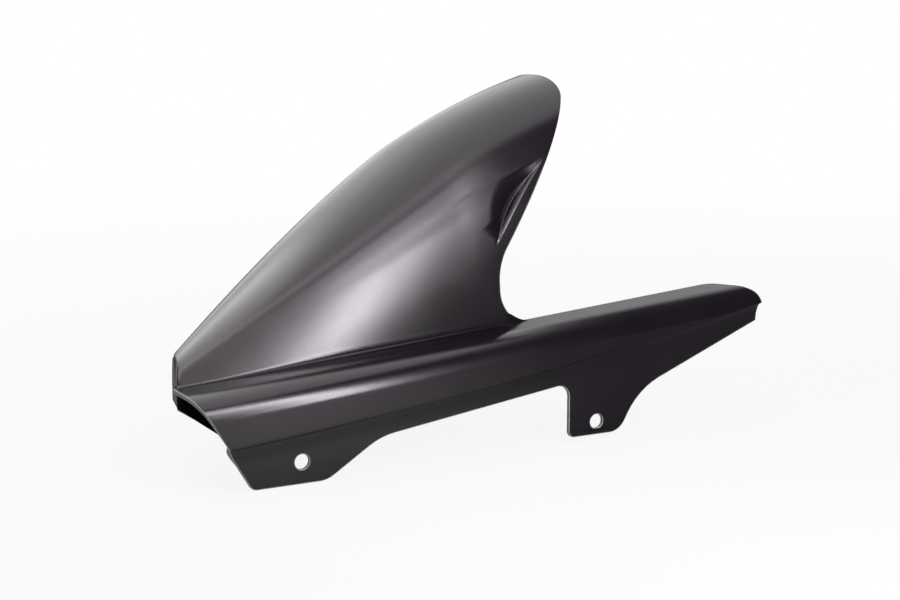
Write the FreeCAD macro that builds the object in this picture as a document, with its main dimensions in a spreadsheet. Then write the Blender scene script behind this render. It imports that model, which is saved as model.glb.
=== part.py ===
import FreeCAD, Part
import math
import os

# Rear fender of a motorcycle: one moulding with a tyre hood, a chain guard and two fixing tabs.
# X runs to the rear, Y to the wheel, Z up. The origin lies midway between the two fixing holes,
# on the outer face of the flange. Lengths in millimetres, angles in degrees.

Vector = FreeCAD.Vector
doc = FreeCAD.newDocument("rear_fender")

SIZES = [
    ("wall", 2.5, "thickness of the moulding"),
    ("mount_spacing", 190, "between the two fixing holes"),
    ("mount_hole", 8.5, "diameter of a fixing hole"),
    ("front_reach", 57, "front of the guard roof ahead of the front hole"),
    ("rear_reach", 117, "rear end of the guard behind the rear hole"),
    ("roof_height", 53.3, "top of the guard roof above the origin"),
    ("roof_slope", 4.8, "rise of the guard roof to the rear, angle"),
    ("channel_width", 30, "outer face of the flange to the outer face of the hood flank"),
    ("stand_out", 6, "upper guard wall outboard of the flange"),
    ("shoulder_width", 20, "rounded shoulder of the guard, across"),
    ("shoulder_drop", 12, "rounded shoulder of the guard, down"),
    ("crease_height", 27.8, "crease of the guard wall above the origin"),
    ("crease_slope", 7.35, "rise of the crease at the origin, angle"),
    ("crease_radius", 3370, "long bend of the crease in side view"),
    ("crease_ledge", 0.4, "flat under the crease"),
    ("step_drop", 11, "height of the hollow sweep under the crease"),
    ("front_edge_angle", 59.3, "slant of the guard's front edge"),
    ("front_tab_drop", 12.4, "front tab below the holes"),
    ("front_tab_corner", 5, "corner radius of the front tab"),
    ("front_tab_rear", 15, "front tab bottom behind the front hole"),
    ("front_tab_bend", 16, "radius at the rear of the front tab"),
    ("front_tab_rise", 32, "slant behind the front tab, angle"),
    ("lower_edge_height", 14.6, "lower edge between the tabs, at the origin"),
    ("lower_edge_slope", 7.8, "rise of the lower edge, angle"),
    ("lower_edge_bend", 40, "hollow radius where the lower edge starts"),
    ("rear_tab_lead", 19.4, "front of the rear tab ahead of the rear hole"),
    ("rear_tab_drop", 8, "rear tab below the holes"),
    ("rear_tab_notch", 7, "hollow radius in front of the rear tab"),
    ("rear_tab_corner", 4, "front corner radius of the rear tab"),
    ("rear_tab_trail", 16.6, "rear tab bottom behind the rear hole"),
    ("rear_tab_bend", 12, "rear corner radius of the rear tab"),
    ("rear_tab_rise", 61, "slant behind the rear tab, angle"),
    ("taper_bend", 45, "hollow radius where the tapered end starts"),
    ("taper_slope", 22.1, "rise of the tapered end, angle"),
    ("taper_end_height", 51.2, "tapered end above the origin, at the rear"),
    ("rear_sweep", 21, "slant of the guard's rear end in plan, angle"),
    ("rear_bend", 25, "radius where that slant starts, in line with the flange"),
    ("rear_corner", 9, "rounded inner corner of the guard's rear end"),
    ("flank_depth", 30, "flank below the guard roof"),
    ("flank_mouth_drop", 10.5, "straight front edge of the flank below the roof"),
    ("flank_cut_angle", 36.5, "slant of the flank's lower front corner"),
    ("hood_lead", 2.5, "front of the hood ahead of the guard roof"),
    ("hood_front_slant", 0.3, "set back of the hood's front for each unit across"),
    ("hood_width", 170, "full width of the hood"),
    ("hood_front_width", 38, "width of the hood at its front"),
    ("hood_flare", 182, "length over which the hood widens"),
    ("hood_flare_power", 1.4, "form of the widening"),
    ("spring_height", 30.02, "start of the hood's arch at the front hole"),
    ("spring_slope", 9.37, "rise of the arch's start to the rear, angle"),
    ("crown_height", 84.62, "crown of the hood at the front hole"),
    ("crown_slope", 31, "rise of the straight part of the crown, angle"),
    ("crown_bend_start", 28.6, "end of the straight part of the crown"),
    ("crown_radius", 395.5, "bend of the crown behind it"),
    ("arch_power", 2.3, "fullness of the arch, 2 is an ellipse"),
    ("tail_reach", 119, "rearmost point of the hood"),
    ("tail_slant", 54.1, "slant of the hood's rear edge, angle"),
    ("tail_corner", 20, "radius at the top of the rear edge"),
    ("bay_depth", 47, "foot of the rear edge behind the origin"),
    ("bay_height", 93, "start of the straight rear edge above the origin"),
    ("bay_bend", 35, "radius at the foot of the rear edge"),
    ("bay_corner", 20, "radius between the rear edge and the guard roof"),
    ("scoop_radius", 43.4, "ball that hollows the scoop"),
    ("scoop_along", 43, "middle of the scoop along the rear edge"),
    ("scoop_rim", 5, "rim between the scoop and the rear edge"),
    ("scoop_turn", 5, "angle between the scoop's wall and the rear edge"),
    ("scoop_back", 1.7, "centre of the ball behind the middle of the scoop"),
    ("scoop_up", 7.4, "centre of the ball above the middle of the scoop"),
    ("scoop_out", 21.3, "centre of the ball outboard of the flank"),
    ("past", 20, "overlap of cutting tools"),
]

sheet = doc.addObject("Spreadsheet::Sheet", "Sizes")
for row, (alias, value, note) in enumerate(SIZES, start=1):
    sheet.set(f"A{row}", alias)
    sheet.set(f"B{row}", str(value))
    sheet.setAlias(f"B{row}", alias)
    sheet.set(f"C{row}", note)
doc.recompute()


def size(alias):
    return float(sheet.get(alias))


def rise(alias):
    return math.tan(math.radians(size(alias)))


wall = size("wall")
past = size("past")
front_hole_x = -size("mount_spacing") / 2
rear_hole_x = size("mount_spacing") / 2
guard_front = front_hole_x - size("front_reach")
guard_rear = rear_hole_x + size("rear_reach")
flank = size("channel_width")
hood_front = guard_front - size("hood_lead")
hood_right = flank + size("hood_width")
highest = size("crown_height") + rise("crown_slope") * (size("tail_reach") - front_hole_x) + past
lowest = -size("front_tab_drop") - past


def roof_z(x):
    return size("roof_height") + rise("roof_slope") * x


def lower_edge_z(x):
    return size("lower_edge_height") + rise("lower_edge_slope") * x


def spring_z(x):
    return size("spring_height") + rise("spring_slope") * (x - front_hole_x)


def crown_z(x):
    """Height of the hood's crown: a straight ramp, then an arc."""
    bend = size("crown_bend_start")
    ramp = size("crown_height") + rise("crown_slope") * (min(x, bend) - front_hole_x)
    if x <= bend:
        return ramp
    turn = math.radians(size("crown_slope"))
    radius = size("crown_radius")
    centre_x = bend + radius * math.sin(turn)
    return ramp - radius * math.cos(turn) + math.sqrt(radius ** 2 - (x - centre_x) ** 2)


def crown_tilt(x):
    """Slope of the crown as an angle in radians."""
    bend = size("crown_bend_start")
    turn = math.radians(size("crown_slope"))
    if x <= bend:
        return turn
    return math.asin(math.sin(turn) - (x - bend) / size("crown_radius"))


def hood_right_y(x):
    """Right side of the hood, which widens to the rear."""
    left = max(1 - (x - guard_front) / size("hood_flare"), 0)
    growth = size("hood_width") - size("hood_front_width")
    return hood_right - growth * left ** size("hood_flare_power")


def rounded_outline(corners, place):
    """Face with the given corners (across, up, radius); place turns them into space."""
    points = [place(a, b) for a, b, radius in corners]
    edges = []
    first = last = None
    for i, (a, b, radius) in enumerate(corners):
        here = points[i]
        back = (points[i - 1] - here).normalize()
        ahead = (points[(i + 1) % len(points)] - here).normalize()
        half = back.getAngle(ahead) / 2
        start = here + back * (radius / math.tan(half))
        end = here + ahead * (radius / math.tan(half))
        if last is not None:
            edges.append(Part.makeLine(last, start))
        if radius > 0:
            middle = (back + ahead).normalize()
            inner = here + middle * (radius / math.sin(half) - radius)
            edges.append(Part.Arc(start, inner, end).toShape())
        if first is None:
            first = start
        last = end
    edges.append(Part.makeLine(last, first))
    return Part.Face(Part.Wire(edges))


def side_view(across):
    return lambda x, z: Vector(x, across, z)


def plan_view(x, y):
    return Vector(x, y, lowest)


def quarter_ellipse(start, corner, end):
    curve = Part.BezierCurve()
    curve.setPoles([start, corner, end])
    curve.setWeight(2, math.sqrt(0.5))
    return curve.toShape()


def profile(label, shape):
    feature = doc.addObject("Part::Feature", label)
    feature.Shape = shape
    return feature


def extruded(label, face, direction, length):
    """Straight body on a face; its length is bound to the sheet."""
    body = doc.addObject("Part::Extrusion", label)
    body.Base = profile(label + "_face", face)
    body.DirMode = "Custom"
    body.Dir = direction
    body.setExpression("LengthFwd", length)
    body.Solid = True
    return body


def lofted(label, wires):
    body = doc.addObject("Part::Loft", label)
    body.Sections = [profile(f"{label}_{i}", wire) for i, wire in enumerate(wires)]
    body.Solid = True
    body.Ruled = False
    return body


def boolean(kind, label, base, tool):
    body = doc.addObject(kind, label)
    body.Base = base
    body.Tool = tool
    return body


def cut(label, base, tool):
    return boolean("Part::Cut", label, base, tool)


def common(label, base, tool):
    return boolean("Part::Common", label, base, tool)


# Guard: roof, rounded shoulder and upper wall, drawn straight along the roof line


def guard_upper(label, inset, inner_edge):
    start_x = guard_front - past
    top = roof_z(start_x) - inset
    outer = -size("stand_out") + inset
    bend_y = outer + size("shoulder_width") - inset
    bend_z = top - size("shoulder_drop") + inset
    bottom = lowest - past

    def at(y, z):
        return Vector(start_x, y, z)

    edges = [
        Part.makeLine(at(inner_edge, top), at(bend_y, top)),
        quarter_ellipse(at(bend_y, top), at(outer, top), at(outer, bend_z)),
        Part.makeLine(at(outer, bend_z), at(outer, bottom)),
        Part.makeLine(at(outer, bottom), at(inner_edge, bottom)),
        Part.makeLine(at(inner_edge, bottom), at(inner_edge, top)),
    ]
    run = "(Sizes.mount_spacing + Sizes.front_reach + Sizes.rear_reach + 2 * Sizes.past)"
    direction = Vector(1, 0, rise("roof_slope")).normalize()
    face = Part.Face(Part.Wire(edges))
    return extruded(label, face, direction, run + " / cos(Sizes.roof_slope * 1 deg)")


# Guard: crease, hollow sweep and flange, turned along the long bend of the crease


def guard_lower(label, inset, inner_edge):
    turn = math.radians(size("crease_slope"))
    radius = size("crease_radius")
    centre = Vector(-radius * math.sin(turn), 0, size("crease_height") + radius * math.cos(turn))
    level = centre.z - radius
    outer = -size("stand_out")
    ledge = outer + (size("crease_ledge") if inset == 0 else 0)
    far = outer - past
    top = highest
    foot = level - size("step_drop")
    bottom = level - radius / 4

    def at(y, z):
        return Vector(centre.x, y, z)

    edges = [
        Part.makeLine(at(far, top), at(far, level + inset)),
        Part.makeLine(at(far, level + inset), at(ledge, level + inset)),
        quarter_ellipse(at(ledge, level + inset), at(inset, level + inset), at(inset, foot)),
        Part.makeLine(at(inset, foot), at(inset, bottom)),
        Part.makeLine(at(inset, bottom), at(inner_edge, bottom)),
        Part.makeLine(at(inner_edge, bottom), at(inner_edge, top)),
        Part.makeLine(at(inner_edge, top), at(far, top)),
    ]
    body = doc.addObject("Part::Revolution", label)
    body.Source = profile(label + "_face", Part.Face(Part.Wire(edges)))
    body.Base = centre
    body.Axis = Vector(0, -1, 0)
    body.Angle = math.degrees(math.asin((guard_rear + past - centre.x) / radius))
    body.Solid = True
    return body


def guard_outline():
    """Side view of the guard: slanted front, two tabs, lower edge and tapered rear end."""
    tab_bottom = -size("front_tab_drop")
    slant = rise("front_edge_angle")
    edge_top = highest
    edge_z = roof_z(guard_front) - size("shoulder_drop") / 2
    front_top = guard_front - (edge_top - edge_z) / slant
    front_bottom = guard_front + (edge_z - tab_bottom) / slant
    tab_rear = front_hole_x + size("front_tab_rear")
    climb = rise("front_tab_rise")
    meet = (lower_edge_z(0) - tab_bottom + climb * tab_rear) / (climb - rise("lower_edge_slope"))
    rear_tab_front = rear_hole_x - size("rear_tab_lead")
    rear_bottom = -size("rear_tab_drop")
    rear_tab_rear = rear_hole_x + size("rear_tab_trail")
    steep = rise("rear_tab_rise")
    taper = rise("taper_slope")
    taper_start = size("taper_end_height") - taper * guard_rear
    turn = (taper_start - rear_bottom + steep * rear_tab_rear) / (steep - taper)
    return [
        (front_top, edge_top, 0),
        (front_bottom, tab_bottom, size("front_tab_corner")),
        (tab_rear, tab_bottom, size("front_tab_bend")),
        (meet, lower_edge_z(meet), size("lower_edge_bend")),
        (rear_tab_front, lower_edge_z(rear_tab_front), size("rear_tab_notch")),
        (rear_tab_front, rear_bottom, size("rear_tab_corner")),
        (rear_tab_rear, rear_bottom, size("rear_tab_bend")),
        (turn, taper_start + taper * turn, size("taper_bend")),
        (guard_rear, size("taper_end_height"), 0),
        (guard_rear, edge_top, 0),
    ]


def guard_plan():
    """Plan of the guard: its roof reaches into the hood, and ends free behind the bay."""
    outer = -size("stand_out") - past
    free_edge = flank + wall
    hood_side = flank + wall + size("stand_out")
    free_start = size("bay_depth") + size("bay_corner") / 2
    return [
        (guard_front - past, outer, 0),
        (guard_rear, outer, 0),
        (guard_rear, 0, size("rear_bend")),
        (guard_rear - rise("rear_sweep") * free_edge, free_edge, size("rear_corner")),
        (free_start, free_edge, 0),
        (free_start, hood_side, 0),
        (guard_front - past, hood_side, 0),
    ]


# Hood: an arch on straight legs, whose sections change along the fender


ARCH_STEPS = 16
STATION_COUNT = 11


def hood_section(x, inset):
    """Closed section of the hood across X, drawn in by the inset."""
    left = flank + inset
    right = hood_right_y(x) - inset
    spring = spring_z(x)
    crown = crown_z(x) - inset / math.cos(crown_tilt(x))
    bottom = lowest - past - inset
    half_width = (right - left) / 2
    middle = (right + left) / 2
    power = 2 / size("arch_power")
    points = []
    for i in range(ARCH_STEPS + 1):
        turn = math.pi * i / ARCH_STEPS
        across = math.copysign(abs(math.cos(turn)) ** power, math.cos(turn))
        up = abs(math.sin(turn)) ** power if 0 < i < ARCH_STEPS else 0
        points.append(Vector(x, middle - half_width * across, spring + (crown - spring) * up))
    arch = Part.BSplineCurve()
    arch.interpolate(Points=points, Parameters=[i / ARCH_STEPS for i in range(ARCH_STEPS + 1)])
    feet = [Vector(x, left, bottom), Vector(x, right, bottom)]
    return Part.Wire([
        Part.makeLine(feet[0], points[0]),
        arch.toShape(),
        Part.makeLine(points[-1], feet[1]),
        Part.makeLine(feet[1], feet[0]),
    ])


def hood_body(label, inset):
    first = hood_front - past / 4
    step = (size("tail_reach") + past / 2 - first) / (STATION_COUNT - 1)
    return lofted(label, [hood_section(first + step * i, inset) for i in range(STATION_COUNT)])


def hood_plan(inset):
    """Plan behind the hood's slanted front face."""
    slant = size("hood_front_slant")
    start = hood_front + inset * math.sqrt(1 + slant ** 2)
    left = flank - past
    right = hood_right + past
    rear = size("tail_reach") + past
    return [
        (start + slant * (left - flank), left, 0),
        (rear, left, 0),
        (rear, right, 0),
        (start + slant * (right - flank), right, 0),
    ]


def tail_edge_z(x):
    return size("bay_height") + rise("tail_slant") * (x - size("bay_depth"))


def tail_corners(foot):
    """Rear edge of the hood in side view, from the foot of the bay to the top of the tail."""
    bay = size("bay_depth")
    tail = size("tail_reach")
    return [
        (bay, foot(bay), size("bay_corner")),
        (bay, size("bay_height"), size("bay_bend")),
        (tail, tail_edge_z(tail), size("tail_corner")),
        (tail, highest, 0),
        (hood_front - past, highest, 0),
    ]


def flank_outline():
    """Side view of the left flank: bay above the roof, inner wall of the chain channel below it."""
    def foot(x):
        return roof_z(x) - wall / 2

    def lower(x):
        return roof_z(x) - size("flank_depth")

    mouth_z = roof_z(hood_front) - size("flank_mouth_drop")
    cut_slope = rise("flank_cut_angle")
    corner = (mouth_z + cut_slope * hood_front - lower(0)) / (cut_slope + rise("roof_slope"))
    rear = size("bay_depth") + size("bay_corner") / 2
    start = hood_front - past
    return [(rear, lower(rear), 0), (rear, foot(rear), 0)] + tail_corners(foot) + [
        (start, mouth_z + cut_slope * (hood_front - start), 0),
        (corner, lower(corner), 0),
    ]


def right_outline():
    """Side view of the crown and right side, which end at the start of the arch."""
    start = hood_front - past
    return tail_corners(spring_z) + [(start, spring_z(start), 0)]


def scoop(label, inset):
    """Hollow beside the rear edge: a ball cut off by a flat wall."""
    slant = math.radians(size("tail_slant"))
    along = Vector(math.cos(slant), 0, math.sin(slant))
    ahead = Vector(-math.sin(slant), 0, math.cos(slant))
    foot = Vector(size("bay_depth"), 0, size("bay_height"))
    middle = foot + along * size("scoop_along") + ahead * size("scoop_rim")
    lean = slant - math.radians(size("scoop_turn"))
    line = Vector(math.cos(lean), 0, math.sin(lean))
    side = Vector(-math.sin(lean), 0, math.cos(lean))
    ball = doc.addObject("Part::Sphere", label + "_ball")
    ball.Radius = size("scoop_radius") + inset
    ball.Placement.Base = Vector(
        middle.x + size("scoop_back"), flank - size("scoop_out"), middle.z + size("scoop_up"))
    reach = size("scoop_radius") * 2
    low = middle - side * inset
    corners = [low - line * reach, low + line * reach]
    corners += [corners[1] + side * reach, corners[0] + side * reach]
    face = rounded_outline([(p.x, p.z, 0) for p in corners], side_view(-reach))
    block = extruded(label + "_block", face, Vector(0, 1, 0), "4 * Sizes.scoop_radius")
    return common(label, ball, block)


inner_reach = flank + wall + size("stand_out") + past
guard_outside = common(
    "guard_outside", guard_upper("upper_outside", 0, inner_reach), guard_lower("lower_outside", 0, inner_reach))
guard_inside = common(
    "guard_inside",
    guard_upper("upper_inside", wall, inner_reach + past),
    guard_lower("lower_inside", wall, inner_reach + past))
guard_sheet = cut("guard_sheet", guard_outside, guard_inside)
guard_side = extruded(
    "guard_side",
    rounded_outline(guard_outline(), side_view(-size("stand_out") - past)),
    Vector(0, 1, 0),
    "Sizes.channel_width + Sizes.wall + 2 * Sizes.stand_out + 3 * Sizes.past")
guard_top = extruded(
    "guard_top",
    rounded_outline(guard_plan(), plan_view),
    Vector(0, 0, 1),
    "Sizes.crown_height + 12 * Sizes.past")
guard = common("guard", common("guard_trimmed", guard_sheet, guard_side), guard_top)

hood_outside = cut("hood_outside", hood_body("hood_outer", 0), scoop("scoop_outer", 0))
hood_inside = cut("hood_inside", hood_body("hood_inner", wall), scoop("scoop_inner", wall))
plan_height = "Sizes.crown_height + 12 * Sizes.past"
hood_solid = common(
    "hood_solid",
    hood_outside,
    extruded("front_outer", rounded_outline(hood_plan(0), plan_view), Vector(0, 0, 1), plan_height))
hood_space = common(
    "hood_space",
    hood_inside,
    extruded(
        "front_inner",
        rounded_outline(hood_plan(wall), lambda x, y: Vector(x, y, lowest - 2 * past)),
        Vector(0, 0, 1),
        plan_height + " + Sizes.past"))
hood_sheet = cut("hood_sheet", hood_solid, hood_space)
split = flank + wall * 1.3
flank_keep = extruded(
    "flank_keep",
    rounded_outline(flank_outline(), side_view(flank - past)),
    Vector(0, 1, 0),
    "Sizes.past + 1.3 * Sizes.wall")
right_keep = extruded(
    "right_keep",
    rounded_outline(right_outline(), side_view(split)),
    Vector(0, 1, 0),
    "Sizes.hood_width + Sizes.past")
hood_keep = boolean("Part::Fuse", "hood_keep", flank_keep, right_keep)
hood = common("hood", hood_sheet, hood_keep)

guard_beside = cut("guard_beside", guard, hood_space)
moulding = boolean("Part::Fuse", "moulding", guard_beside, hood)


def fixing_hole(label, centre):
    hole = doc.addObject("Part::Cylinder", label)
    hole.setExpression("Radius", "Sizes.mount_hole / 2")
    hole.setExpression("Height", "Sizes.wall + 2 * Sizes.stand_out")
    hole.setExpression("Placement.Base.x", centre)
    hole.setExpression("Placement.Base.y", "-Sizes.stand_out")
    hole.Placement.Rotation = FreeCAD.Rotation(Vector(1, 0, 0), -90)
    return hole


front_drilled = cut("front_drilled", moulding, fixing_hole("front_hole", "-Sizes.mount_spacing / 2"))
fender = cut("rear_fender", front_drilled, fixing_hole("rear_hole", "Sizes.mount_spacing / 2"))
fender.Label = "rear_fender"
fender.Refine = True

doc.recompute()
for part in doc.Objects:
    if "Invalid" in part.State or "Error" in part.State:
        raise RuntimeError(f"{part.Label} failed: {part.State}")
if fender.Shape.isNull() or not fender.Shape.isValid() or len(fender.Shape.Solids) != 1:
    raise RuntimeError("the fender is not one sound solid")

os.makedirs("parts", exist_ok=True)
fender.Shape.exportStep(f"parts/{fender.Label}.step")
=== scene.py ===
import bpy
import math
from mathutils import Matrix, Vector
from mathutils.geometry import tessellate_polygon


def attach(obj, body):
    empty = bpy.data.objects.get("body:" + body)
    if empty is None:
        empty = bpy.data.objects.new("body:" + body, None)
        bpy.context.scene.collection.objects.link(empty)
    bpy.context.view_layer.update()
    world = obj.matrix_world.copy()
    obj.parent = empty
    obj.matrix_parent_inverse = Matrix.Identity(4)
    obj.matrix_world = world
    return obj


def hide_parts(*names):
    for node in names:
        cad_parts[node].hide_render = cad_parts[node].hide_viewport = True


# Rear fender of a motorcycle: a moulded tyre hood with a chain guard along its left side.
# X runs to the rear, Y into the wheel, Z up. The fender's sizes are in millimetres and degrees,
# those of the studio in metres and degrees.

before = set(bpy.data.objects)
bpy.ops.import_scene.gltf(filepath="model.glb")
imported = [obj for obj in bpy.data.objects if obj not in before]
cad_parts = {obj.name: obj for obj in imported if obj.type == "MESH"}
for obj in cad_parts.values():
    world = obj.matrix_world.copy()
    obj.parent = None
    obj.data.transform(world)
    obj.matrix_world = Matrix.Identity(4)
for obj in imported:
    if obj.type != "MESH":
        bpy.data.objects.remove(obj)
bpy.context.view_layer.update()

MM = 0.001

WALL = 2.5
RIM_RADIUS = 0.55
HOLE_SPACING = 190
HOLE_DIAMETER = 8.5
FRONT_HOLE = -HOLE_SPACING / 2
REAR_HOLE = HOLE_SPACING / 2

# Chain guard
FRONT_REACH = 57
REAR_REACH = 117
GUARD_FRONT = FRONT_HOLE - FRONT_REACH
GUARD_REAR = REAR_HOLE + REAR_REACH
ROOF_HEIGHT = 53.3
ROOF_SLOPE = 4.8
ROOF_IN_FLANK = 0.55 * WALL
ROOF_LEAVES_FLANK = 50
ROOF_IS_FREE = 66
FLANK_Y = 30
STAND_OUT = 6
SHOULDER_WIDTH = 20
SHOULDER_DROP = 12
CREASE_HEIGHT = 27.8
CREASE_SLOPE = 7.35
CREASE_RADIUS = 3370
CREASE_ROUND = 0.5
STEP_DROP = 11
FRONT_EDGE_ANGLE = 59.3
REAR_SWEEP = 21
REAR_BEND = 25
REAR_CORNER = 9

# Lower edge of the guard's flange, with both tabs
LOWER_EDGE_HEIGHT = 14.6
LOWER_EDGE_SLOPE = 7.8
LOWER_EDGE_BEND = 40
FRONT_TAB_DROP = 12.4
FRONT_TAB_REAR = 15
FRONT_TAB_RISE = 32
FRONT_TAB_BEND = 16
FRONT_TAB_CORNER = 5
REAR_TAB_DROP = 8
REAR_TAB_LEAD = 19.4
REAR_TAB_TRAIL = 16.6
REAR_TAB_RISE = 61
REAR_TAB_NOTCH = 7
REAR_TAB_CORNER = 4
REAR_TAB_BEND = 12
TAPER_SLOPE = 22.1
TAPER_BEND = 45
TAPER_END_HEIGHT = 51.2

# Tyre hood
FLANK_DEPTH = 30
FLANK_MOUTH_DROP = 10.5
FLANK_CUT_ANGLE = 36.5
FLANK_REAR = 57
FLANK_REAR_FADE = 12
HOOD_LEAD = 2.5
HOOD_FRONT = GUARD_FRONT - HOOD_LEAD
HOOD_FRONT_SLANT = 0.3
HOOD_FRONT_ROUND = 1.6
HOOD_WIDTH = 170
HOOD_FRONT_WIDTH = 38
HOOD_FLARE = 182
HOOD_FLARE_POWER = 1.4
SPRING_HEIGHT = 45.7
SPRING_SLOPE = 9.37
CROWN_HEIGHT = 141.7
CROWN_SLOPE = 31
CROWN_BEND_START = 28.6
CROWN_RADIUS = 395.5
ARCH_POWER = 2.3
TAIL_REACH = 119
TAIL_SLANT = 54.1
TAIL_CORNER = 20
BAY_DEPTH = 47
BAY_HEIGHT = 93
BAY_BEND = 35
BAY_CORNER = 20

# Scoop beside the rear edge: its ends along that edge, its depth, and its lines ahead of the edge
SCOOP_START = 11
SCOOP_END = 67
SCOOP_DEPTH = 5.0
SCOOP_DEPTH_POWER = 1.3
SCOOP_RIM = 6.6
SCOOP_RIM_BEND = 0.002
SCOOP_RIM_MIDDLE = 20
SCOOP_RIM_BEFORE = 8
SCOOP_RIM_PAST = 4
SCOOP_WALL_FOOT = 0.8
SCOOP_WALL_RUN = 0.5
SCOOP_WALL_POWER = 1.5
SCOOP_SOFT_EDGE = 2
SCOOP_SPREAD = 10.5
SCOOP_SPREAD_POWER = 0.8
SCOOP_FLOOR_POWER = 1.7

# Soft hollow where the flank meets the guard's roof
JUNCTION_FRONT = GUARD_FRONT - 2
JUNCTION_REAR = BAY_DEPTH + BAY_CORNER - 2
JUNCTION_FRONT_RADIUS = 1.2
JUNCTION_RADIUS_GROWTH = 5.5
JUNCTION_GROWTH_START = -150
JUNCTION_GROWTH_END = -40
JUNCTION_CLOSING_START = BAY_DEPTH - 4
JUNCTION_LEAST_RADIUS = 0.25
JUNCTION_SINK = 0.04
JUNCTION_TOP_SINK = 0.1

# Fineness of the mesh
ROUND_STEPS = 3
SHARPEST_MITRE = 0.5
PATH_STEP_ANGLE = 6
PATH_LEAST_STEPS = 4
ROOF_ROWS = 12
ROOF_ROW_POWER = 1.6
SHOULDER_ROWS = 26
SHOULDER_ARC_STEPS = 40
CREASE_ROWS = 4
SWEEP_ROWS = 12
GUARD_COLUMNS = 150
SEAM_GAP = 0.4
SEAM_FRONT_CLEAR = 5
HOLE_STEPS = 40
FLANK_ROWS = 14
ARCH_ROWS = 150
ARCH_ROW_CROWDING = 0.35
PLAIN_COLUMNS = 90
HOLLOW_COLUMNS = 26
SCOOP_WALL_COLUMNS = 10
RIM_COLUMNS = 8
FRONT_COLUMN_GAP = 0.2
JUNCTION_STEPS = 9
JUNCTION_COLUMNS = 110
NO_AREA = 1e-12
NO_LENGTH = 1e-9

# Searches for where lines meet
SOLVE_STEPS = 25
SCOOP_LINE_GUESS = 5
HALVINGS = 50
FACING_ANGLE = 0.002
FACING_LENGTH = 0.5
ROW_END_FIRST = -120
ROW_END_PAST = 5
CUT_LENGTH = 80


def rise(angle):
    return math.tan(math.radians(angle))


def smooth(value, low, high):
    t = min(max((value - low) / (high - low), 0), 1)
    return t * t * (3 - 2 * t)


def roof_z(x):
    return ROOF_HEIGHT + rise(ROOF_SLOPE) * x


def spring_z(x):
    """Height at which the hood's arch starts."""
    return SPRING_HEIGHT + rise(SPRING_SLOPE) * x


def below_crease(x, drop):
    """Height of the crease's long bend, or of a line at some drop under it."""
    turn = math.radians(CREASE_SLOPE)
    centre_x = -CREASE_RADIUS * math.sin(turn)
    centre_z = CREASE_HEIGHT + CREASE_RADIUS * math.cos(turn)
    return centre_z - math.sqrt((CREASE_RADIUS + drop) ** 2 - (x - centre_x) ** 2)


def crown_z(x):
    """Height of the hood's crown: a straight ramp, then a long bend."""
    ramp = CROWN_HEIGHT + rise(CROWN_SLOPE) * min(x, CROWN_BEND_START)
    if x <= CROWN_BEND_START:
        return ramp
    turn = math.radians(CROWN_SLOPE)
    centre_x = CROWN_BEND_START + CROWN_RADIUS * math.sin(turn)
    drop = CROWN_RADIUS * math.cos(turn) - math.sqrt(CROWN_RADIUS ** 2 - (x - centre_x) ** 2)
    return ramp - drop


def crown_tilt(x):
    turn = math.radians(CROWN_SLOPE)
    if x <= CROWN_BEND_START:
        return turn
    return math.asin(math.sin(turn) - (x - CROWN_BEND_START) / CROWN_RADIUS)


def hood_right_y(x):
    left = max(1 - (x - GUARD_FRONT) / HOOD_FLARE, 0)
    growth = HOOD_WIDTH - HOOD_FRONT_WIDTH
    return FLANK_Y + HOOD_WIDTH - growth * left ** HOOD_FLARE_POWER


def hood_left_y(x, z):
    """Outer face of the hood's left side at a height."""
    up = min(max((z - spring_z(x)) / (crown_z(x) - spring_z(x)), 0), 1)
    across = (1 - up ** ARCH_POWER) ** (1 / ARCH_POWER)
    half = (hood_right_y(x) - FLANK_Y) / 2
    return FLANK_Y + half * (1 - across)


# Moulded walls


class Sheet:
    """Outer and inner skin of a moulded wall."""

    def __init__(self):
        self.outer = []
        self.inner = []
        self.fixed = {}
        self.faces = []

    def vertex(self, outer, inner):
        self.outer.append(Vector(outer))
        self.inner.append(Vector(inner))
        return len(self.outer) - 1

    def grid(self, rows):
        for a, b in zip(rows, rows[1:]):
            for k in range(len(a) - 1):
                self.faces.append((a[k], a[k + 1], b[k + 1], b[k]))

    def flat(self, loops, facing):
        """Flat area inside the first loop and outside the others."""
        order = [v for loop in loops for v in loop]
        for tri in tessellate_polygon([[self.outer[v] for v in loop] for loop in loops]):
            a, b, c = (order[k] for k in tri)
            normal = (self.outer[b] - self.outer[a]).cross(self.outer[c] - self.outer[a])
            self.faces.append((a, b, c) if normal.dot(facing) > 0 else (a, c, b))

    def hold_normal(self, vertices, facing):
        for v in vertices:
            self.fixed[v] = facing

    def rim(self):
        """The vertex that follows each vertex of the rim."""
        directed = {(f[k - 1], f[k]) for f in self.faces for k in range(len(f))}
        return {a: b for a, b in directed if (b, a) not in directed}


def skin_normals(points, faces):
    """Mean face normal at each point, weighted by the corner's angle."""
    normals = [Vector((0, 0, 0)) for _ in points]
    for face in faces:
        corners = [points[v] for v in face]
        flat = (corners[1] - corners[0]).cross(corners[2] - corners[0])
        if len(face) == 4:
            flat = (corners[2] - corners[0]).cross(corners[3] - corners[1])
        if flat.length < NO_AREA:
            continue
        flat.normalize()
        for k, v in enumerate(face):
            back = corners[k - 1] - corners[k]
            ahead = corners[(k + 1) % len(face)] - corners[k]
            if back.length > NO_LENGTH and ahead.length > NO_LENGTH:
                normals[v] += flat * back.angle(ahead)
    return [n.normalized() for n in normals]


def rim_direction(before, here, ahead, through, normal):
    """Way out over the rim, and how far the skins draw back there for its rounding."""
    sides = [(here - before).cross(through).normalized(), (ahead - here).cross(through).normalized()]
    out = sides[0] + sides[1]
    out = (out - normal * out.dot(normal)).normalized()
    return out, out * (RIM_RADIUS / max(out.dot(sides[0]), SHARPEST_MITRE))


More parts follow.
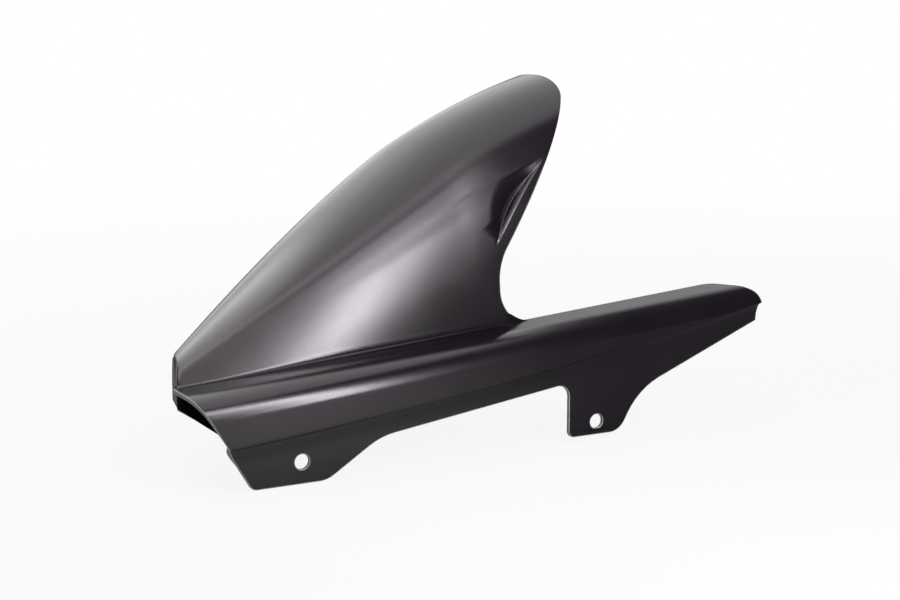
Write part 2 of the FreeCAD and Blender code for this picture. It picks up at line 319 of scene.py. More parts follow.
def rim_arc(outer, inner, through, out, reach):
    """Points and normals over the rim, from the outer skin to the inner one."""
    arc = []
    for side, skin in ((1, outer), (-1, inner)):
        turns = [math.pi / 2 * k / ROUND_STEPS for k in range(1, ROUND_STEPS + 1)]
        for turn in turns if side == 1 else turns[::-1]:
            deep = through * (side * RIM_RADIUS * (1 - math.cos(turn)))
            normal = through * side * math.cos(turn) + out * math.sin(turn)
            arc.append((skin - reach * (1 - math.sin(turn)) - deep, normal))
    return arc


def moulded(name, sheets, surface, edge):
    """One object from sheets with their wall thickness and rounded edges."""
    points, normals, faces, slots = [], [], [], []
    for sheet in sheets:
        base = len(points)
        count = len(sheet.outer)
        outer, inner = list(sheet.outer), list(sheet.inner)
        outer_normals = skin_normals(outer, sheet.faces)
        inner_normals = skin_normals(inner, sheet.faces)
        for v, facing in sheet.fixed.items():
            outer_normals[v] = facing
            inner_normals[v] = facing
        following = sheet.rim()
        before = {b: a for a, b in following.items()}
        rim_rows = {}
        rim_points, rim_normals = [], []
        for v, ahead in following.items():
            through = (sheet.outer[v] - sheet.inner[v]).normalized()
            out, reach = rim_direction(
                sheet.outer[before[v]], sheet.outer[v], sheet.outer[ahead], through, outer_normals[v])
            outer[v] = sheet.outer[v] - reach
            inner[v] = sheet.inner[v] - reach
            row = [base + v]
            for point, normal in rim_arc(sheet.outer[v], sheet.inner[v], through, out, reach):
                row.append(base + 2 * count + len(rim_points))
                rim_points.append(point)
                rim_normals.append(normal)
            row.append(base + count + v)
            rim_rows[v] = row
        points += outer + inner + rim_points
        normals += outer_normals + [-n for n in inner_normals] + rim_normals
        for face in sheet.faces:
            faces.append(tuple(base + v for v in face))
            faces.append(tuple(base + count + v for v in reversed(face)))
            slots += [0, 0]
        for a, b in following.items():
            here, ahead = rim_rows[a], rim_rows[b]
            for k in range(len(here) - 1):
                faces.append((ahead[k], here[k], here[k + 1], ahead[k + 1]))
                slots.append(1)
    mesh = bpy.data.meshes.new(name)
    mesh.from_pydata([p * MM for p in points], [], faces)
    mesh.materials.append(surface)
    # The rounded rims take the second material, whose light grey is a painted highlight along the cut
    # edges.
    mesh.materials.append(edge)
    mesh.polygons.foreach_set("material_index", slots)
    mesh.polygons.foreach_set("use_smooth", [True] * len(faces))
    mesh.normals_split_custom_set_from_vertices(normals)
    mesh.update()
    return placed(name, mesh)


def placed(name, mesh):
    piece = bpy.data.objects.new(name, mesh)
    bpy.context.collection.objects.link(piece)
    return piece


# Chain guard


def guard_edge_y(x):
    """Inner edge of the roof: inside the flank's wall, and free behind the bay."""
    inside = hood_left_y(x, roof_z(x) - WALL / 2) + ROOF_IN_FLANK
    free = FLANK_Y + WALL
    return inside + (free - inside) * smooth(x, ROOF_LEAVES_FLANK, ROOF_IS_FREE)


def resampled(path, count):
    """Points at even steps along a path."""
    lengths = [0]
    for a, b in zip(path, path[1:]):
        lengths.append(lengths[-1] + (b - a).length)
    points, k = [], 0
    for i in range(count):
        want = lengths[-1] * i / (count - 1)
        while k < len(path) - 2 and lengths[k + 1] < want:
            k += 1
        span = lengths[k + 1] - lengths[k]
        points.append(path[k].lerp(path[k + 1], (want - lengths[k]) / span if span else 0))
    return points


def shoulder(top, inset, level):
    """Rounded shoulder and upper wall (y, z), from the roof down to a level."""
    bend_y = SHOULDER_WIDTH - STAND_OUT
    outer = -STAND_OUT + inset
    foot = top - SHOULDER_DROP
    height = SHOULDER_DROP - inset
    last = math.pi / 2 if level <= foot else math.acos((level - foot) / height)
    path = []
    for k in range(SHOULDER_ARC_STEPS + 1):
        turn = last * k / SHOULDER_ARC_STEPS
        path.append(Vector((bend_y - (bend_y - outer) * math.sin(turn), foot + height * math.cos(turn))))
    if level < foot:
        path.append(Vector((outer, level)))
    return resampled(path, SHOULDER_ROWS)


def guard_roof(x, inset):
    top = roof_z(x) - inset
    edge_y = guard_edge_y(x)
    bend_y = SHOULDER_WIDTH - STAND_OUT
    shares = [(k / ROOF_ROWS) ** ROOF_ROW_POWER for k in range(ROOF_ROWS)]
    return [Vector((edge_y + (bend_y - edge_y) * share, top)) for share in shares]


def guard_outside(x):
    """Outer points (y, z) of the guard from the roof's inner edge to the flange."""
    level = below_crease(x, 0)
    foot = below_crease(x, STEP_DROP)
    points = guard_roof(x, 0) + shoulder(roof_z(x), 0, level + CREASE_ROUND)
    wall_foot = points[-1].copy()
    for k in range(1, CREASE_ROWS + 1):
        turn = math.pi / 2 * k / CREASE_ROWS
        y = wall_foot.x + CREASE_ROUND * (1 - math.cos(turn))
        points.append(Vector((y, wall_foot.y - CREASE_ROUND * math.sin(turn))))
    reach = -points[-1].x
    for k in range(1, SWEEP_ROWS + 1):
        turn = math.pi / 2 * k / SWEEP_ROWS
        points.append(Vector((reach * (math.sin(turn) - 1), foot + (level - foot) * math.cos(turn))))
    return points


def guard_inside(x):
    """Inner points (y, z) that face those of the outside."""
    foot = below_crease(x, STEP_DROP)
    reach = STAND_OUT + WALL
    height = below_crease(x, 0) + WALL - foot
    first = math.asin(WALL / reach)
    points = guard_roof(x, WALL) + shoulder(roof_z(x), WALL, foot + height * math.cos(first))
    rows = CREASE_ROWS + SWEEP_ROWS
    for k in range(1, rows + 1):
        turn = first + (math.pi / 2 - first) * k / rows
        points.append(Vector((-STAND_OUT + reach * math.sin(turn), foot + height * math.cos(turn))))
    return points


def guard_rear_x(y):
    """Rear end of the guard in plan."""
    bend = REAR_BEND * math.tan(math.radians(REAR_SWEEP / 2))
    if y < -bend:
        return GUARD_REAR
    if y < bend * math.cos(math.radians(REAR_SWEEP)):
        return GUARD_REAR - REAR_BEND + math.sqrt(REAR_BEND ** 2 - (y + bend) ** 2)
    free = FLANK_Y + WALL
    corner = REAR_CORNER * math.tan(math.radians(45 - REAR_SWEEP / 2))
    if y < free - corner * math.cos(math.radians(REAR_SWEEP)):
        return GUARD_REAR - rise(REAR_SWEEP) * y
    centre_x = GUARD_REAR - rise(REAR_SWEEP) * free - corner
    return centre_x + math.sqrt(max(REAR_CORNER ** 2 - (y - free + REAR_CORNER) ** 2, 0))


def guard_front_x(z):
    edge_z = roof_z(GUARD_FRONT) - SHOULDER_DROP / 2
    return GUARD_FRONT + (edge_z - z) / rise(FRONT_EDGE_ANGLE)


def rounded_path(corners):
    """Points of a path (x, z, radius) with its corners rounded; the two ends stay as they are."""
    path = [Vector(corners[0][:2])]
    for i in range(1, len(corners) - 1):
        here = Vector(corners[i][:2])
        radius = corners[i][2]
        back = (Vector(corners[i - 1][:2]) - here).normalized()
        ahead = (Vector(corners[i + 1][:2]) - here).normalized()
        half = back.angle(ahead) / 2
        start = here + back * (radius / math.tan(half))
        end = here + ahead * (radius / math.tan(half))
        centre = here + (back + ahead).normalized() * (radius / math.sin(half))
        sweep = math.pi - 2 * half
        steps = max(PATH_LEAST_STEPS, round(math.degrees(sweep) / PATH_STEP_ANGLE))
        for k in range(steps + 1):
            from_start = math.sin((1 - k / steps) * sweep) / math.sin(sweep)
            from_end = math.sin(k / steps * sweep) / math.sin(sweep)
            path.append(centre + (start - centre) * from_start + (end - centre) * from_end)
    path.append(Vector(corners[-1][:2]))
    return path


def lower_outline():
    """Lower edge of the flange from the rear end to the foot of the front edge, with both tabs."""
    slope, climb = rise(LOWER_EDGE_SLOPE), rise(FRONT_TAB_RISE)
    front_tab_rear = FRONT_HOLE + FRONT_TAB_REAR
    meet = (LOWER_EDGE_HEIGHT + FRONT_TAB_DROP + climb * front_tab_rear) / (climb - slope)
    rear_tab_front = REAR_HOLE - REAR_TAB_LEAD
    rear_tab_rear = REAR_HOLE + REAR_TAB_TRAIL
    steep, taper = rise(REAR_TAB_RISE), rise(TAPER_SLOPE)
    taper_start = TAPER_END_HEIGHT - taper * GUARD_REAR
    turn = (taper_start + REAR_TAB_DROP + steep * rear_tab_rear) / (steep - taper)
    top = roof_z(GUARD_FRONT)
    path = rounded_path([
        (GUARD_REAR, TAPER_END_HEIGHT, 0),
        (turn, taper_start + taper * turn, TAPER_BEND),
        (rear_tab_rear, -REAR_TAB_DROP, REAR_TAB_BEND),
        (rear_tab_front, -REAR_TAB_DROP, REAR_TAB_CORNER),
        (rear_tab_front, LOWER_EDGE_HEIGHT + slope * rear_tab_front, REAR_TAB_NOTCH),
        (meet, LOWER_EDGE_HEIGHT + slope * meet, LOWER_EDGE_BEND),
        (front_tab_rear, -FRONT_TAB_DROP, FRONT_TAB_BEND),
        (guard_front_x(-FRONT_TAB_DROP), -FRONT_TAB_DROP, FRONT_TAB_CORNER),
        (guard_front_x(top), top, 0),
    ])
    # The last point only gives the front edge its direction.
    return path[:-1]


def fixing_hole(sheet, centre):
    ring = []
    for k in range(HOLE_STEPS):
        turn = 2 * math.pi * k / HOLE_STEPS
        x = centre + HOLE_DIAMETER / 2 * math.cos(turn)
        z = HOLE_DIAMETER / 2 * math.sin(turn)
        ring.append(sheet.vertex((x, 0, z), (x, WALL, z)))
    return ring


def flange(sheet, seam):
    """Flat lower part of the guard, below the foot of the sweep, with both tabs and holes."""
    first, last = sheet.outer[seam[0]], sheet.outer[seam[-1]]
    edge = []
    for p in lower_outline():
        x, z = min(p.x, last.x), min(p.y, below_crease(p.x, STEP_DROP) - SEAM_GAP)
        if z >= first.z - SEAM_GAP and p.x < first.x + SEAM_FRONT_CLEAR:
            continue
        edge.append(sheet.vertex((x, 0, z), (x, WALL, z)))
    holes = [fixing_hole(sheet, FRONT_HOLE), fixing_hole(sheet, REAR_HOLE)]
    facing = Vector((0, -1, 0))
    sheet.flat([seam + edge] + holes, facing)
    sheet.hold_normal(edge + holes[0] + holes[1], facing)


def guard_sheet():
    sheet = Sheet()
    rows = []
    for k in range(len(guard_outside(0))):
        front, rear = GUARD_FRONT, GUARD_REAR - REAR_CORNER
        for _ in range(SOLVE_STEPS):
            front = guard_front_x(guard_outside(front)[k].y)
            rear = guard_rear_x(guard_outside(rear)[k].x)
        row = []
        for j in range(GUARD_COLUMNS + 1):
            x = front + (rear - front) * j / GUARD_COLUMNS
            out, within = guard_outside(x)[k], guard_inside(x)[k]
            row.append(sheet.vertex((x, out.x, out.y), (x, within.x, within.y)))
        rows.append(row)
    sheet.grid(rows[::-1])
    flange(sheet, rows[-1])
    return sheet


# Tyre hood


def hood_point(row, x, inset):
    """Point of the hood on a row: below 0 on the flank, then an angle round the arch."""
    spring = spring_z(x)
    if row < 0:
        lowest = roof_z(x) - FLANK_DEPTH
        return Vector((x, FLANK_Y + inset, spring + (spring - lowest) * row))
    left, right = FLANK_Y + inset, hood_right_y(x) - inset
    crown = crown_z(x) - inset / math.cos(crown_tilt(x))
    power = 2 / ARCH_POWER
    across = math.copysign(abs(math.cos(row)) ** power, math.cos(row))
    up = max(math.sin(row), 0) ** power
    return Vector((x, (left + right) / 2 - (right - left) / 2 * across, spring + (crown - spring) * up))


def hood_facing(row, x):
    """Outward direction of the hood's face."""
    if row <= 0:
        return Vector((0, -1, 0))
    row = min(row, math.pi - 2 * FACING_ANGLE)
    along = hood_point(row, x + FACING_LENGTH, 0) - hood_point(row, x - FACING_LENGTH, 0)
    around = hood_point(row + FACING_ANGLE, x, 0) - hood_point(row - FACING_ANGLE, x, 0)
    return along.cross(around).normalized()


def front_x(y, inset):
    return HOOD_FRONT + inset * math.sqrt(1 + HOOD_FRONT_SLANT ** 2) + HOOD_FRONT_SLANT * (y - FLANK_Y)


def cut_z(x):
    """Slanted lower front corner of the flank."""
    mouth_z = roof_z(HOOD_FRONT) - FLANK_MOUTH_DROP
    return mouth_z + rise(FLANK_CUT_ANGLE) * (HOOD_FRONT - x)


def bay_left_x(z):
    """Bay's rounded corner down to the guard's roof, and the flank's rear end under the roof."""
    centre_x = BAY_DEPTH + BAY_CORNER
    centre_z = roof_z(centre_x) - WALL / 2 + BAY_CORNER
    if z > centre_z:
        return BAY_DEPTH
    foot = centre_z - BAY_CORNER
    if z < foot:
        return FLANK_REAR + (centre_x - FLANK_REAR) * smooth(z, foot - FLANK_REAR_FADE, foot)
    return centre_x - math.sqrt(max(BAY_CORNER ** 2 - (z - centre_z) ** 2, 0))


def bay_right_x(z):
    """Rounded lower corner of the hood's right side."""
    centre_x = BAY_DEPTH - BAY_CORNER
    centre_z = spring_z(centre_x) + BAY_CORNER
    if z > centre_z:
        return BAY_DEPTH
    return centre_x + math.sqrt(max(BAY_CORNER ** 2 - (z - centre_z) ** 2, 0))


def tail_x(z, left):
    """Rear edge of the hood in side view at a height."""
    slant = math.radians(TAIL_SLANT)
    lean = math.tan(math.radians(90 - TAIL_SLANT) / 2)
    top_z = BAY_HEIGHT + math.tan(slant) * (TAIL_REACH - BAY_DEPTH)
    tail_start = top_z - TAIL_CORNER * lean * math.sin(slant)
    tail_end = top_z + TAIL_CORNER * lean
    bend_start = BAY_HEIGHT - BAY_BEND * lean
    bend_end = BAY_HEIGHT + BAY_BEND * lean * math.sin(slant)
    if z > tail_end:
        return TAIL_REACH
    if z > tail_start:
        return TAIL_REACH - TAIL_CORNER + math.sqrt(TAIL_CORNER ** 2 - (z - tail_end) ** 2)
    if z > bend_end:
        return BAY_DEPTH + (z - BAY_HEIGHT) / math.tan(slant)
    if z > bend_start:
        return BAY_DEPTH + BAY_BEND - math.sqrt(BAY_BEND ** 2 - (z - bend_start) ** 2)
    return bay_left_x(z) if left else bay_right_x(z)


def row_end(row):
    left = row < math.pi / 2
    low, high = ROW_END_FIRST, TAIL_REACH + ROW_END_PAST
    for _ in range(HALVINGS):
        x = (low + high) / 2
        if x < tail_x(hood_point(row, x, 0).z, left):
            low = x
        else:
            high = x
    return low


def row_start(row):
    """Front of a row, and whether it lies on the hood's front face."""
    x = HOOD_FRONT
    for _ in range(SOLVE_STEPS):
        x = front_x(hood_point(row, x, 0).y, 0)
    if row > math.pi / 2 or hood_point(row, x, 0).z >= cut_z(x):
        return x, True
    low, high = x, x + CUT_LENGTH
    for _ in range(HALVINGS):
        middle = (low + high) / 2
        if hood_point(row, middle, 0).z < cut_z(middle):
            low = middle
        else:
            high = middle
    return high, False


def along_tail(point):
    slant = math.radians(TAIL_SLANT)
    return (point.x - BAY_DEPTH) * math.cos(slant) + (point.z - BAY_HEIGHT) * math.sin(slant)


def scoop_lines(along):
    """Depth of the scoop, and its ridge, foot and soft limit ahead of the rear edge."""
    t = min(max((along - SCOOP_START) / (SCOOP_END - SCOOP_START), 0), 1)
    swell = 4 * t * (1 - t)
    near = min(max(along, SCOOP_START - SCOOP_RIM_BEFORE), SCOOP_END + SCOOP_RIM_PAST)
    depth = SCOOP_DEPTH * swell ** SCOOP_DEPTH_POWER
    ridge = SCOOP_RIM - SCOOP_RIM_BEND * (near - SCOOP_RIM_MIDDLE) ** 2
    foot = ridge + SCOOP_WALL_FOOT + SCOOP_WALL_RUN * depth
    soft = foot + SCOOP_SOFT_EDGE + SCOOP_SPREAD * swell ** SCOOP_SPREAD_POWER
    return depth, ridge, foot, soft


def row_columns(row):
    """Places along a row, each with the scoop's depth there. The right side has no scoop."""
    start, on_face = row_start(row)
    end = row_end(row)
    rear, ahead = hood_point(row, end, 0), hood_point(row, end - FACING_LENGTH, 0)
    climb = (rear.z - ahead.z) / FACING_LENGTH
    slant = math.radians(TAIL_SLANT)
    rate = math.sin(slant) - math.cos(slant) * climb
    left = row < math.pi / 2

    def scoop_at(x):
        return scoop_lines(along_tail(hood_point(row, x, 0)) if left else SCOOP_START - SCOOP_RIM_BEFORE)

    def line(which):
        # This search doesn't settle on every row, so its first guess and its steps shape the scoop.
        x = end - SCOOP_LINE_GUESS
        for _ in range(SOLVE_STEPS):
            x = end - scoop_at(x)[which] / rate
        return x

    ridge, foot, soft = line(1), line(2), line(3)
    front = start + HOOD_FRONT_ROUND
    columns = []
    for k in range(PLAIN_COLUMNS):
        columns.append((front + (soft - front) * k / PLAIN_COLUMNS, 0))
    for k in range(HOLLOW_COLUMNS):
        t = k / HOLLOW_COLUMNS
        x = soft + (foot - soft) * t
        columns.append((x, scoop_at(x)[0] * t ** SCOOP_FLOOR_POWER))
    for k in range(SCOOP_WALL_COLUMNS):
        t = k / SCOOP_WALL_COLUMNS
        x = foot + (ridge - foot) * t
        columns.append((x, scoop_at(x)[0] * (1 - t) ** SCOOP_WALL_POWER))
    for k in range(RIM_COLUMNS + 1):
        columns.append((ridge + (end - ridge) * k / RIM_COLUMNS, 0))
    return start, on_face, columns


def hood_rows():
    """Rows up the flank, then angles round the arch that crowd a little at its feet."""
    rows = [-1 + k / FLANK_ROWS for k in range(FLANK_ROWS)]
    for k in range(ARCH_ROWS + 1):
        even = k / ARCH_ROWS
        crowded = (1 - math.cos(math.pi * even)) / 2
        rows.append(math.pi * (crowded * ARCH_ROW_CROWDING + even * (1 - ARCH_ROW_CROWDING)))
    return rows


def front_rounding(sheet, row, start, on_face):
    """Vertices round the front of a row, from the front face to the hood's own face."""
    line = []
    for k in range(ROUND_STEPS + 1):
        turn = math.pi / 2 * (1 - k / (ROUND_STEPS + 1))
        x = start + HOOD_FRONT_ROUND * (1 - math.sin(turn))
        deep = HOOD_FRONT_ROUND * (1 - math.cos(turn)) if on_face else 0
        out = hood_point(row, x, 0) - hood_facing(row, x) * deep
        if on_face and k == 0:
            out.x = front_x(out.y, 0)
        within = hood_point(row, x, WALL)
        if on_face:
            within.x = front_x(within.y, WALL) + FRONT_COLUMN_GAP * k
        line.append(sheet.vertex(out, within))
    return line


def hood_sheet():
    sheet = Sheet()
    rows, face_edge = [], []
    for row in hood_rows():
        start, on_face, columns = row_columns(row)
        line = front_rounding(sheet, row, start, on_face)
        if on_face:
            face_edge.append(line[0])
        for x, depth in columns:
            push = hood_facing(row, x) * -depth
            within = hood_point(row, x, WALL) + push
            if on_face:
                within.x = max(within.x, front_x(within.y, WALL) + FRONT_COLUMN_GAP * ROUND_STEPS)
            line.append(sheet.vertex(hood_point(row, x, 0) + push, within))
        rows.append(line)
    sheet.grid(rows)
    facing = Vector((-1, HOOD_FRONT_SLANT, 0)).normalized()
    sheet.flat([face_edge], facing)
    sheet.hold_normal(face_edge, facing)
    return sheet


# Junction of flank and roof


def junction_section(x):
    """Closed section: the hollow from roof to flank, and a back inside the walls."""
    top = roof_z(x) - JUNCTION_SINK
    room = BAY_CORNER * (1 - smooth(x, JUNCTION_CLOSING_START, JUNCTION_REAR))
    growth = smooth(x, JUNCTION_GROWTH_START, JUNCTION_GROWTH_END)
    radius = min(JUNCTION_FRONT_RADIUS + JUNCTION_RADIUS_GROWTH * growth, JUNCTION_LEAST_RADIUS + room / 2)
    corner = Vector((x, hood_left_y(x, top), top))
    high = Vector((x, hood_left_y(x, top + radius) + JUNCTION_SINK, top + radius))
    low = Vector((x, corner.y - radius, top))
    section = []
    for k in range(JUNCTION_STEPS + 1):
        t = k / JUNCTION_STEPS
        section.append(low * (1 - t) ** 2 + corner * (2 * t * (1 - t)) + high * t ** 2)
    section.append(high + Vector((0, WALL / 2, -JUNCTION_TOP_SINK)))
    section.append(corner + Vector((0, WALL / 2, -WALL / 2)))
    section.append(low + Vector((0, 0, -WALL / 2)))
    return section


def junction(name, surface):
    sections = []
    for j in range(JUNCTION_COLUMNS + 1):
        x = JUNCTION_FRONT + (JUNCTION_REAR - JUNCTION_FRONT) * j / JUNCTION_COLUMNS
        sections.append(junction_section(x))
    count = len(sections[0])
    points = [p * MM for section in sections for p in section]
    faces = []
    for j in range(JUNCTION_COLUMNS):
        for k in range(count):
            a, b = j * count + k, j * count + (k + 1) % count
            faces.append((a, b, b + count, a + count))
    faces.append(tuple(reversed(range(count))))
    faces.append(tuple(range(len(points) - count, len(points))))
    mesh = bpy.data.meshes.new(name)
    mesh.from_pydata(points, [], faces)
    mesh.materials.append(surface)
    mesh.polygons.foreach_set("use_smooth", [True] * len(faces))
    mesh.update()
    return placed(name, mesh)


# Materials


def new_material(name):
    material = bpy.data.materials.new(name)
    material.use_nodes = True
    nodes = material.node_tree.nodes
    return material, nodes, material.node_tree.links, nodes["Principled BSDF"]


def set_values(node, **values):
    """Constant values of a node's sockets; an underscore stands for a space in a socket's name."""
    for socket, value in values.items():
        node.inputs[socket.replace("_", " ")].default_value = value


def grain_group():
    """Fine moulded grain: a height for bump, and slow patches of gloss and colour."""
    group = bpy.data.node_groups.new("moulded_grain", "ShaderNodeTree")
    for name in ("Grain Scale", "Gloss Low", "Gloss High"):
        group.interface.new_socket(name, in_out="INPUT", socket_type="NodeSocketFloat")
    for name in ("Height", "Roughness", "Patch"):
        group.interface.new_socket(name, in_out="OUTPUT", socket_type="NodeSocketFloat")
    nodes, links = group.nodes, group.links
    enter = nodes.new("NodeGroupInput")
    leave = nodes.new("NodeGroupOutput")
    place = nodes.new("ShaderNodeTexCoord")
    grain = nodes.new("ShaderNodeTexNoise")
    set_values(grain, Detail=3, Roughness=0.6)
    patch = nodes.new("ShaderNodeTexNoise")
    set_values(patch, Scale=22, Detail=4)
    spread = nodes.new("ShaderNodeMapRange")
    set_values(spread, From_Min=0.3, From_Max=0.7)
    links.new(place.outputs["Object"], grain.inputs["Vector"])
    links.new(place.outputs["Object"], patch.inputs["Vector"])
    links.new(enter.outputs["Grain Scale"], grain.inputs["Scale"])
    links.new(patch.outputs["Fac"], spread.inputs["Value"])
    links.new(enter.outputs["Gloss Low"], spread.inputs["To Min"])
    links.new(enter.outputs["Gloss High"], spread.inputs["To Max"])
    links.new(grain.outputs["Fac"], leave.inputs["Height"])
    links.new(spread.outputs["Result"], leave.inputs["Roughness"])
    links.new(patch.outputs["Fac"], leave.inputs["Patch"])
    return group


def plastic(name, group, dark, light, gloss, grain_scale, bump_depth):
    """Black plastic with a fine grain, between two tones and two degrees of gloss."""
    material, nodes, links, shader = new_material(name)
    grain = nodes.new("ShaderNodeGroup")
    grain.node_tree = group
    set_values(grain, Grain_Scale=grain_scale, Gloss_Low=gloss[0], Gloss_High=gloss[1])
    tint = nodes.new("ShaderNodeValToRGB")
    low, high = tint.color_ramp.elements
    low.position, high.position = 0.3, 0.7
    low.color, high.color = (*dark, 1), (*light, 1)
    bump = nodes.new("ShaderNodeBump")
    set_values(bump, Strength=0.35, Distance=bump_depth)
    set_values(shader, Specular_IOR_Level=0.62, Specular_Tint=(1, 0.94, 1, 1))
    links.new(grain.outputs["Patch"], tint.inputs["Fac"])
    links.new(tint.outputs["Color"], shader.inputs["Base Color"])
    links.new(grain.outputs["Roughness"], shader.inputs["Roughness"])
    links.new(grain.outputs["Height"], bump.inputs["Height"])
    links.new(bump.outputs["Normal"], shader.inputs["Normal"])
    return material


moulded_grain = grain_group()
satin_black = plastic(
    "satin_black_plastic", moulded_grain,
    dark=(0.0055, 0.0038, 0.0062), light=(0.007, 0.005, 0.0078),
    gloss=(0.185, 0.225), grain_scale=2600, bump_depth=0.00003)
# Light grey for the cut edges of the black plastic: a painted highlight standing in for the glint along
# the trimmed rims.
edge_painted_highlight = plastic(
    "plastic_edge_painted_highlight", moulded_grain,
    dark=(0.2, 0.198, 0.204), light=(0.27, 0.268, 0.275),
    gloss=(0.35, 0.5), grain_scale=4200, bump_depth=0.00006)

fender = moulded("fender_moulding", [guard_sheet(), hood_sheet()], satin_black, edge_painted_highlight)
blend = junction("flank_junction", satin_black)
for piece in (fender, blend):
    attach(piece, "root")
    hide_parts("rear_fender")


# Studio


FLOOR_SIZE = 90
FLOOR_LEVEL = -0.0128
LIGHT_POOL = (-0.11, -0.24, 0)
FENDER_MIDDLE = Vector((0.02, 0.06, 0.09))
AIR_STRENGTH = 0.04
CAMERA_TARGET = Vector((0.05057, 0.1, 0.06113))
CAMERA_TURN = -28.56
CAMERA_LIFT = 10.09
CAMERA_DISTANCE = 1.1


def outward(turn, lift):
    """Direction from the fender; turn 0 is straight out from the guard, and it grows to the rear."""
    turn, lift = math.radians(turn), math.radians(lift)
    return Vector((math.sin(turn) * math.cos(lift), -math.cos(turn) * math.cos(lift), math.sin(lift)))


def math_node(nodes, operation):
    node = nodes.new("ShaderNodeMath")
    node.operation = operation
    return node


def pale_floor():
    """Floor that is white to the camera apart from its shadow, and mirrored as a pool of light."""
    material, nodes, links, shader = new_material("pale_floor")
    set_values(shader, Base_Color=(0.45, 0.45, 0.45, 1), Roughness=0.9, Specular_IOR_Level=0.1)
    rays = nodes.new("ShaderNodeLightPath")
    place = nodes.new("ShaderNodeTexCoord")
    away = nodes.new("ShaderNodeVectorMath")
    away.operation = "LENGTH"
    paler = nodes.new("ShaderNodeMapRange")
    set_values(paler, From_Min=0.3, From_Max=1.5, To_Min=0.9, To_Max=1.0)
    seen = math_node(nodes, "MULTIPLY")
    mirrored = math_node(nodes, "MAXIMUM")
    share = math_node(nodes, "MAXIMUM")
    pool = nodes.new("ShaderNodeVectorMath")
    pool.operation = "DISTANCE"
    pool.inputs[1].default_value = LIGHT_POOL
    fading = nodes.new("ShaderNodeMapRange")
    set_values(fading, From_Min=0.1, From_Max=0.3, To_Min=1.0, To_Max=0.18)
    strength = math_node(nodes, "MAXIMUM")
    white = nodes.new("ShaderNodeEmission")
    mix = nodes.new("ShaderNodeMixShader")
    links.new(place.outputs["Object"], away.inputs[0])
    links.new(away.outputs["Value"], paler.inputs["Value"])
    links.new(rays.outputs["Is Camera Ray"], seen.inputs[0])
    links.new(paler.outputs["Result"], seen.inputs[1])
    links.new(rays.outputs["Is Glossy Ray"], mirrored.inputs[0])
    links.new(rays.outputs["Is Transmission Ray"], mirrored.inputs[1])
    links.new(seen.outputs[0], share.inputs[0])
    links.new(mirrored.outputs[0], share.inputs[1])
    links.new(place.outputs["Object"], pool.inputs[0])
    links.new(pool.outputs["Value"], fading.inputs["Value"])
    links.new(rays.outputs["Is Camera Ray"], strength.inputs[0])
    links.new(fading.outputs["Result"], strength.inputs[1])
    links.new(strength.outputs[0], white.inputs["Strength"])
    links.new(share.outputs[0], mix.inputs["Fac"])
    links.new(shader.outputs["BSDF"], mix.inputs[1])
    links.new(white.outputs["Emission"], mix.inputs[2])
    links.new(mix.outputs["Shader"], nodes["Material Output"].inputs["Surface"])
    return material


def studio_floor():
    bpy.ops.mesh.primitive_plane_add(size=FLOOR_SIZE, location=(0, 0, FLOOR_LEVEL))
    floor = bpy.context.object
    floor.name = "studio_floor"
    floor.data.materials.append(pale_floor())


def softbox(name, turn, lift, distance, width, height, brightness, roll=0, slide=0):
    """Lit panel facing the fender, turned by its roll and slid along its own height."""
    out = outward(turn, lift)
    turn, roll = math.radians(turn), math.radians(roll)
    level = Vector((math.cos(turn), math.sin(turn), 0))
    across = level * math.cos(roll) + out.cross(level) * math.sin(roll)
    data = bpy.data.lights.new(name, "AREA")
    data.shape = "RECTANGLE"
    data.size = width
    data.size_y = height
    data.energy = brightness * math.pi * width * height
    lamp = bpy.data.objects.new(name, data)
    lamp.rotation_euler = Matrix((across, out.cross(across), out)).transposed().to_euler()
    lamp.location = FENDER_MIDDLE + out * distance + out.cross(across) * slide
    lamp.visible_camera = False
    bpy.context.collection.objects.link(lamp)


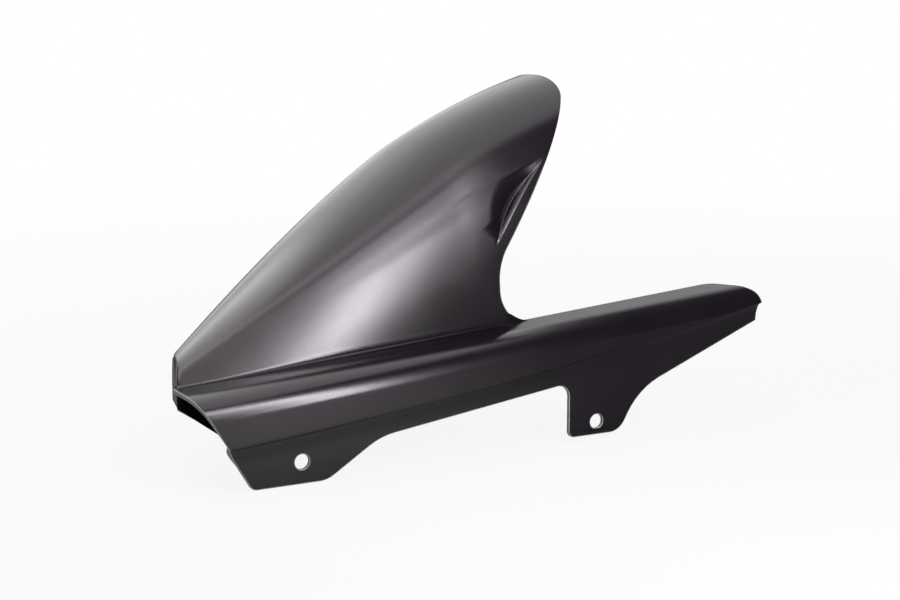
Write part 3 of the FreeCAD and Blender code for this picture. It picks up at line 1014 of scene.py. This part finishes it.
def flank_strips():
    """Near, narrow strip in three parts that grow dimmer upwards, for the highlight on the flank."""
    near = {"lift": 21, "distance": 0.5, "roll": 6.5}
    softbox("flank_strip", turn=7.2, slide=-0.12, width=0.051, height=0.76, brightness=26, **near)
    softbox("flank_strip_upper", turn=5.6, slide=0.385, width=0.051, height=0.25, brightness=15, **near)
    softbox("flank_strip_top", turn=5.2, slide=0.65, width=0.07, height=0.28, brightness=6, **near)


def panels():
    softbox("crown_panel", turn=173, lift=49, distance=1.3, width=1.15, height=2.75, brightness=1.35)
    softbox("front_panel", turn=-14.5, lift=48.7, distance=0.9, width=1.62, height=0.62,
            brightness=1.25, roll=-62)
    softbox("mouth_panel", turn=-126.7, lift=58.6, distance=0.7, width=0.255, height=1.65,
            brightness=1.8, roll=-60)
    softbox("right_fill", turn=127, lift=16, distance=1.6, width=1.3, height=0.8, brightness=0.6)
    softbox("left_fill", turn=232, lift=20, distance=1.6, width=1.5, height=0.9, brightness=2.0)


def sky():
    """Air that is white to the camera past the floor's end, and dim to all other rays."""
    world = bpy.data.worlds.new("studio_air")
    bpy.context.scene.world = world
    world.use_nodes = True
    nodes, links = world.node_tree.nodes, world.node_tree.links
    air = nodes["Background"]
    set_values(air, Color=(1, 1, 1, 1))
    rays = nodes.new("ShaderNodeLightPath")
    strength = math_node(nodes, "MAXIMUM")
    strength.inputs[1].default_value = AIR_STRENGTH
    links.new(rays.outputs["Is Camera Ray"], strength.inputs[0])
    links.new(strength.outputs[0], air.inputs["Strength"])


def camera():
    back = outward(CAMERA_TURN, CAMERA_LIFT)
    data = bpy.data.cameras.new("camera")
    data.sensor_width = 36
    data.lens = 70.53
    data.clip_start = 0.01
    data.clip_end = 60
    view = bpy.data.objects.new("camera", data)
    view.location = CAMERA_TARGET + back * CAMERA_DISTANCE
    view.rotation_mode = "QUATERNION"
    view.rotation_quaternion = (-back).to_track_quat("-Z", "Y")
    bpy.context.collection.objects.link(view)
    bpy.context.scene.camera = view


studio_floor()
sky()
flank_strips()
panels()
camera()
bpy.context.scene.view_settings.view_transform = "Standard"
